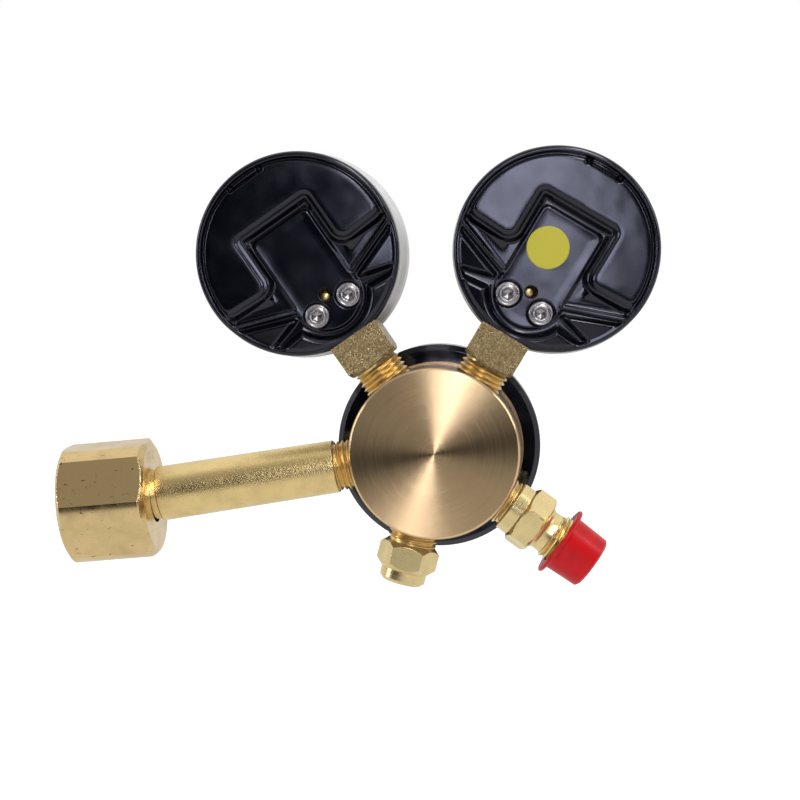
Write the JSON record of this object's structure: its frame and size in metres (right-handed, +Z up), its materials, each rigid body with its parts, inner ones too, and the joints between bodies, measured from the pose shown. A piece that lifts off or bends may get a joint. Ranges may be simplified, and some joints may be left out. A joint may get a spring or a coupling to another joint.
{
  "type": "gas cylinder regulator",
  "caption": "Gas cylinder regulator: brass body with side inlet tube and union nut, gauges on square stems, black bonnet with adjusting knob, relief valve and capped hose outlet.",
  "frame": {"origin": "centre of the inlet nipple's seat face, on the axis of the union nut's thread", "axes": "+X out of the inlet towards the cylinder valve, +Z up past the gauges, -Y towards the knob and the dials"},
  "size_m": [0.1674, 0.1026, 0.1255],
  "materials": {
    "brass_face": "turned, radial brushed",
    "brass_fitting": "machined",
    "brass_rough": "sandblasted",
    "brass_inner": "machined",
    "black_bonnet": "satin black",
    "black_case": "satin black enamel",
    "case_ring": "satin",
    "bright_steel": "bright",
    "spring_steel": "drawn wire",
    "knob_plastic": "fine grain",
    "seal_rubber": "smooth",
    "seal_plastic": "smooth",
    "sintered_filter": "sintered",
    "cap_plastic": "soft, slightly glossy",
    "window": "clear",
    "dial_face": "matt white",
    "pointer_black": "matt black",
    "tube_bronze": "drawn"
  },
  "bodies": {
    "regulator": {"body": "brass_face", "bonnet": "black_bonnet", "slip_ring": "brass_inner", "diaphragm": "seal_rubber", "main_spring": "spring_steel", "valve_nozzle": "brass_inner", "poppet_spring": "spring_steel", "thrust_washer": "seal_plastic", "inlet_tube": "brass_fitting", "inlet_nipple": "brass_fitting", "inlet_seal": "seal_plastic", "inlet_filter": "sintered_filter", "outlet_adaptor": "brass_fitting", "relief_body": "brass_fitting", "relief_cap": "brass_fitting", "relief_spring": "spring_steel", "supply_socket": "brass_rough", "supply_case_back": "black_case", "supply_case_ring": "case_ring", "supply_window": "window", "supply_dial": "dial_face", "supply_back_screws": "bright_steel", "supply_bourdon_tube": "tube_bronze", "supply_movement_frame": "brass_inner", "supply_hairspring": "spring_steel", "delivery_socket": "brass_rough", "delivery_case_back": "black_case", "delivery_case_ring": "case_ring", "delivery_window": "window", "delivery_dial": "dial_face", "delivery_back_screws": "bright_steel", "delivery_bourdon_tube": "tube_bronze", "delivery_movement_frame": "brass_inner", "delivery_hairspring": "spring_steel"},
    "knob_assembly": {"knob": "knob_plastic", "knob_nut": "bright_steel", "knob_cap": "knob_plastic", "adjusting_screw": "bright_steel"},
    "follower": {"spring_follower": "brass_inner"},
    "valve_train": {"diaphragm_plate": "bright_steel", "valve_pin": "bright_steel", "poppet": "brass_inner", "poppet_seal": "seal_plastic"},
    "relief_valve_poppet": {"relief_poppet": "brass_inner"},
    "union_nut": {"inlet_nut": "brass_fitting"},
    "dust_cap": {"outlet_cap": "cap_plastic"},
    "supply_sector_arm": {"supply_sector": "brass_inner"},
    "supply_pointer_shaft": {"supply_pinion": "brass_inner", "supply_pointer": "pointer_black"},
    "supply_link_rod": {"supply_link": "bright_steel"},
    "supply_tip_block": {"supply_tube_tip": "brass_inner"},
    "delivery_sector_arm": {"delivery_sector": "brass_inner"},
    "delivery_pointer_shaft": {"delivery_pinion": "brass_inner", "delivery_pointer": "pointer_black"},
    "delivery_link_rod": {"delivery_link": "bright_steel"},
    "delivery_tip_block": {"delivery_tube_tip": "brass_inner"}
  },
  "joints": [
    {"name": "knob_turn", "type": "hinge", "parent": "regulator", "child": "knob_assembly", "pos_m": [-0.086, -0.06, 0], "axis": [0, 1, 0], "range_deg": [0, 1080]},
    {"name": "follower_slide", "type": "slide", "parent": "regulator", "child": "follower", "axis": [0, 1, 0], "range_m": [0, 0.0045], "deforming": ["main_spring"]},
    {"name": "valve_lift", "type": "slide", "parent": "regulator", "child": "valve_train", "axis": [0, 1, 0], "range_m": [0, 0.0008], "stiffness_N_per_m": 3000, "deforming": ["diaphragm", "poppet_spring"]},
    {"name": "relief_lift", "type": "slide", "parent": "regulator", "child": "relief_valve_poppet", "axis": [0.4067, 0, -0.9135], "range_m": [0, 0.0015], "stiffness_N_per_m": 1500, "deforming": ["relief_spring"]},
    {"name": "nut_spin", "type": "hinge", "parent": "regulator", "child": "union_nut", "pos_m": [0, 0, 0], "axis": [1, 0, 0], "continuous": true},
    {"name": "cap_pull", "type": "slide", "parent": "regulator", "child": "dust_cap", "axis": [-0.7071, 0, -0.7071], "range_m": [0, 0.03]},
    {"name": "supply_sector_swing", "type": "hinge", "parent": "regulator", "child": "supply_sector_arm", "pos_m": [-0.0631, -0.0043, 0.04802], "axis": [0, -1, 0], "range_deg": [0, 38.57]},
    {"name": "supply_pointer_swing", "type": "hinge", "parent": "regulator", "child": "supply_pointer_shaft", "pos_m": [-0.05879, -0.0043, 0.05704], "axis": [0, 1, 0], "range_deg": [0, 270], "deforming": ["supply_hairspring"]},
    {"name": "supply_link_swing", "type": "hinge", "parent": "supply_sector_arm", "child": "supply_link_rod", "pos_m": [-0.06374, -0.0037, 0.04306], "axis": [0, -1, 0], "range_deg": [-38.57, 0]},
    {"name": "supply_tip_travel", "type": "slide", "parent": "regulator", "child": "supply_tip_block", "axis": [0.9784, 0, 0.2066], "range_m": [0, 0.0033], "deforming": ["supply_bourdon_tube"]},
    {"name": "delivery_sector_swing", "type": "hinge", "parent": "regulator", "child": "delivery_sector_arm", "pos_m": [-0.11923, -0.0043, 0.0396], "axis": [0, -1, 0], "range_deg": [0, 38.57]},
    {"name": "delivery_pointer_swing", "type": "hinge", "parent": "regulator", "child": "delivery_pointer_shaft", "pos_m": [-0.12566, -0.0043, 0.04726], "axis": [0, 1, 0], "range_deg": [0, 270], "deforming": ["delivery_hairspring"]},
    {"name": "delivery_link_swing", "type": "hinge", "parent": "delivery_sector_arm", "child": "delivery_link_rod", "pos_m": [-0.11499, -0.0037, 0.03697], "axis": [0, -1, 0], "range_deg": [-38.57, 0]},
    {"name": "delivery_tip_travel", "type": "slide", "parent": "regulator", "child": "delivery_tip_block", "axis": [0.2177, 0, 0.976], "range_m": [0, 0.0033], "deforming": ["delivery_bourdon_tube"]}
  ],
  "couplings": [
    {"joint": "follower_slide", "follows": "knob_turn", "m_per_rad": 0.00023873},
    {"joint": "supply_pointer_swing", "follows": "supply_sector_swing", "ratio": 7},
    {"joint": "supply_link_swing", "follows": "supply_sector_swing", "ratio": -1},
    {"joint": "supply_tip_travel", "follows": "supply_sector_swing", "m_per_rad": 0.004904},
    {"joint": "delivery_pointer_swing", "follows": "delivery_sector_swing", "ratio": 7},
    {"joint": "delivery_link_swing", "follows": "delivery_sector_swing", "ratio": -1},
    {"joint": "delivery_tip_travel", "follows": "delivery_sector_swing", "m_per_rad": 0.004904}
  ]
}
